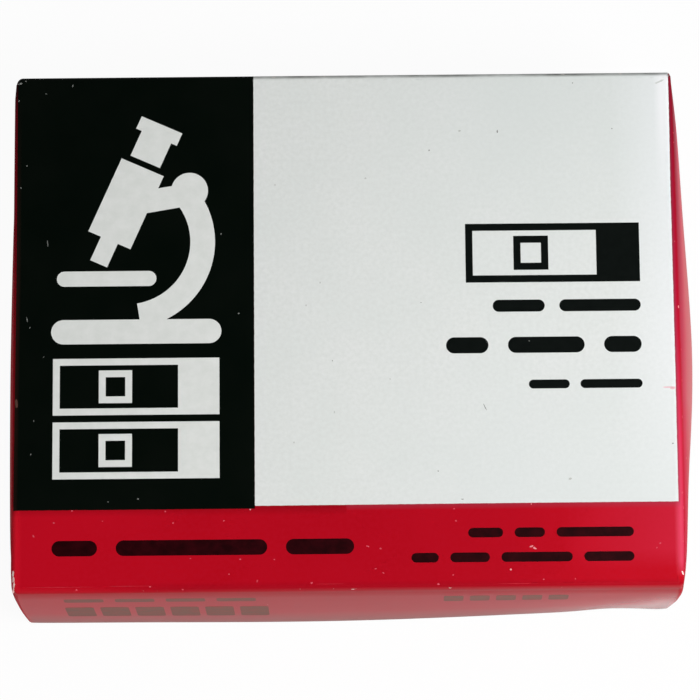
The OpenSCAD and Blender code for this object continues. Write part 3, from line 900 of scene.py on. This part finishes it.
make_blots("grey_scuffs", ink(140, 142, 138), ink(84, 88, 84), [
    (-40.05, 31.45, 0.42, 0.26, 20), (-40.3, 31.35, 0.2, 0.18, 0), (-39.42, 31.75, 0.26, 0.2, 0),
    (-33.57, 31.08, 0.3, 0.2, 80), (-36.92, 30.09, 0.24, 0.2, 0), (-40.25, 29.22, 0.26, 0.2, 0),
    (-39.21, 20.92, 0.22, 0.2, 0), (-39.93, 18.13, 0.22, 0.2, 0), (-29.02, -21.18, 0.24, 0.2, 0),
    (-25.37, -20.84, 0.24, 0.2, 0), (-15.16, 12.07, 0.26, 0.22, 0), (-13.03, 2.06, 0.24, 0.2, 0),
    (-36.57, 11.02, 1.0, 0.13, 96), (-39.06, 1.58, 0.7, 0.13, 100), (-38.69, 0.51, 0.3, 0.12, 60),
    (-38.14, -11.1, 0.2, 0.12, 100), (-38.48, -15.24, 0.24, 0.12, 60), (-36.97, -3.16, 0.3, 0.09, 40),
])
make_blots("dark_scuffs", ink(124, 124, 120), ink(160, 160, 156), [
    (17.05, -9.88, 1.15, 0.1, -65), (28.6, 30.9, 0.26, 0.1, 80), (33.35, 25.0, 0.2, 0.16, 0),
    (9.4, 3.2, 0.15, 0.12, 0), (22.6, -1.7, 0.15, 0.12, 0), (19.13, 24.77, 0.5, 0.18, 80),
    (10.64, 22.43, 0.26, 0.22, 0), (11.23, -17.74, 0.2, 0.16, 0), (14.13, -21.24, 0.4, 0.14, 0),
    (-1.55, -3.95, 0.18, 0.12, 90), (39.93, -14.6, 0.26, 0.17, 0),
])
make_blots("faint_scuffs", ink(198, 200, 196), ink(186, 188, 184), [
    (14.43, 24.9, 0.4, 0.26, 0), (27.31, -18.83, 0.5, 0.34, 20), (2.72, 18.95, 0.3, 0.26, 0),
    (-4.75, 2.99, 0.3, 0.2, 90), (-1.36, -10.33, 0.4, 0.14, 90), (-6.33, -14.05, 0.3, 0.2, 90),
    (-3.0, 5.82, 0.3, 0.2, 90), (-8.48, 18.21, 0.22, 0.2, 0), (5.48, -6.3, 0.2, 0.2, 0),
])
# Painted shade along a crease at the rear right corner
make_blots("creases", ink(208, 211, 208), ink(214, 217, 214), [
    (39.4, 30.95, 1.7, 0.3, 24),
])
make_blots("pink_smears", ink(238, 200, 204), ink(232, 176, 184), [
    (39.6, -7.62, 1.9, 0.18, 0), (40.1, -7.75, 0.7, 0.36, 0),
])
make_blots("brown_scuffs", ink(104, 72, 62), ink(70, 50, 44), [
    (-40.3, -8.95, 1.3, 0.42, 90),
])

# ---------------------------------------------------------------- tray and slides keep their CAD shape
def dress(node, material):
    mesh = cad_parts[node].data
    mesh.materials.clear()
    mesh.materials.append(material)


dress("tray", make_card_material("tray_card", ink(224, 221, 212), ink(208, 204, 193), 0.3))
glass_material = make_glass_material()
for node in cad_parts:
    if node.startswith("slide_"):
        dress(node, glass_material)

# ---------------------------------------------------------------- floor, world, lamps
# Share of plain white in the floor as it is seen, and as it is mirrored in the box
FLOOR_GLOW, MIRRORED_GLOW = 0.95, 0.2
FLOOR_TONE = (0.9, 0.9, 0.9, 1)
FLOOR_REACH = 6
# The world's strength at the horizon and overhead, and the heights, as sines, between which it changes
HORIZON, ZENITH = 0.42, 0.015
HORIZON_END, ZENITH_START = 0.35, 0.8


def make_floor():
    """A pale floor that shows the object's shadow, and is close to white where the camera sees it."""
    g = Graph("floor")
    path = g.add("ShaderNodeLightPath").outputs
    direct = g.larger(path["Is Camera Ray"], path["Is Transmission Ray"])
    seen = g.larger(g.times(direct, FLOOR_GLOW), g.times(path["Is Glossy Ray"], MIRRORED_GLOW))
    g.set(Base_Color=FLOOR_TONE, Roughness=0.9, Specular_IOR_Level=0.0)
    glow = g.add("ShaderNodeEmission")
    glow.inputs["Color"].default_value = (1, 1, 1, 1)
    glow.inputs["Strength"].default_value = 1.0
    blend = g.add("ShaderNodeMixShader")
    g.put(blend.inputs[0], seen)
    g.links.new(g.shader.outputs[0], blend.inputs[1])
    g.links.new(glow.outputs[0], blend.inputs[2])
    g.links.new(blend.outputs[0], g.output.inputs[0])
    mesh = bpy.data.meshes.new("floor")
    corners = [(x * FLOOR_REACH, y * FLOOR_REACH, 0) for x, y in ((-1, -1), (1, -1), (1, 1), (-1, 1))]
    mesh.from_pydata(corners, [], [(0, 1, 2, 3)])
    mesh.materials.append(g.material)
    link(bpy.data.objects.new("floor", mesh))


def make_world():
    """A studio that is bright round the horizon and dark overhead, so that the black print stays black."""
    world = bpy.data.worlds.new("studio")
    bpy.context.scene.world = world
    world.use_nodes = True
    nodes, links = world.node_tree.nodes, world.node_tree.links
    nodes.clear()
    coords = nodes.new("ShaderNodeTexCoord")
    split = nodes.new("ShaderNodeSeparateXYZ")
    links.new(coords.outputs["Generated"], split.inputs[0])
    level = nodes.new("ShaderNodeMapRange")
    level.interpolation_type = "SMOOTHSTEP"
    links.new(split.outputs[2], level.inputs[0])
    for i, value in enumerate((HORIZON_END, ZENITH_START, HORIZON, ZENITH), start=1):
        level.inputs[i].default_value = value
    background = nodes.new("ShaderNodeBackground")
    links.new(level.outputs[0], background.inputs["Strength"])
    output = nodes.new("ShaderNodeOutputWorld")
    links.new(background.outputs[0], output.inputs[0])


def add_lamp(name, azimuth, elevation, distance, size, power):
    """A square lamp that faces the box from the given direction: azimuth 0 is +X, 90 is +Y."""
    data = bpy.data.lights.new(name, "AREA")
    data.size = size
    data.energy = power
    lamp = link(bpy.data.objects.new(name, data))
    a, e = math.radians(azimuth), math.radians(elevation)
    direction = Vector((math.cos(a) * math.cos(e), math.sin(a) * math.cos(e), math.sin(e)))
    lamp.location = direction * distance
    lamp.rotation_euler = direction.to_track_quat("Z", "Y").to_euler()


make_floor()
make_world()
add_lamp("key", -27, 57, 0.37, 0.16, 1.21)
add_lamp("fill", -110, 55, 0.8, 0.4, 0.3)

# ---------------------------------------------------------------- camera, almost straight above the box
CAMERA_AT = Vector((1.11, -80.23, 449.54)) * MM
TILT, PAN, ROLL = math.radians(10.41), math.radians(0.067), math.radians(-0.528)
FOCAL, SENSOR = 180.0, 36.0


def turned(a, b, angle):
    """Directions a and b after both have turned by an angle in their own plane, a towards b."""
    return math.cos(angle) * a + math.sin(angle) * b, math.cos(angle) * b - math.sin(angle) * a


def make_camera():
    right, up = Vector((1, 0, 0)), Vector((0, math.cos(TILT), math.sin(TILT)))
    forward = Vector((0, math.sin(TILT), -math.cos(TILT)))
    right, forward = turned(right, forward, PAN)
    right, up = turned(right, up, ROLL)
    data = bpy.data.cameras.new("camera")
    data.lens = FOCAL
    data.sensor_width = SENSOR
    camera = link(bpy.data.objects.new("camera", data))
    camera.matrix_world = Matrix((
        (right.x, up.x, -forward.x, CAMERA_AT.x),
        (right.y, up.y, -forward.y, CAMERA_AT.y),
        (right.z, up.z, -forward.z, CAMERA_AT.z),
        (0, 0, 0, 1)))
    bpy.context.scene.camera = camera


make_camera()
bpy.context.scene.view_settings.view_transform = "Standard"
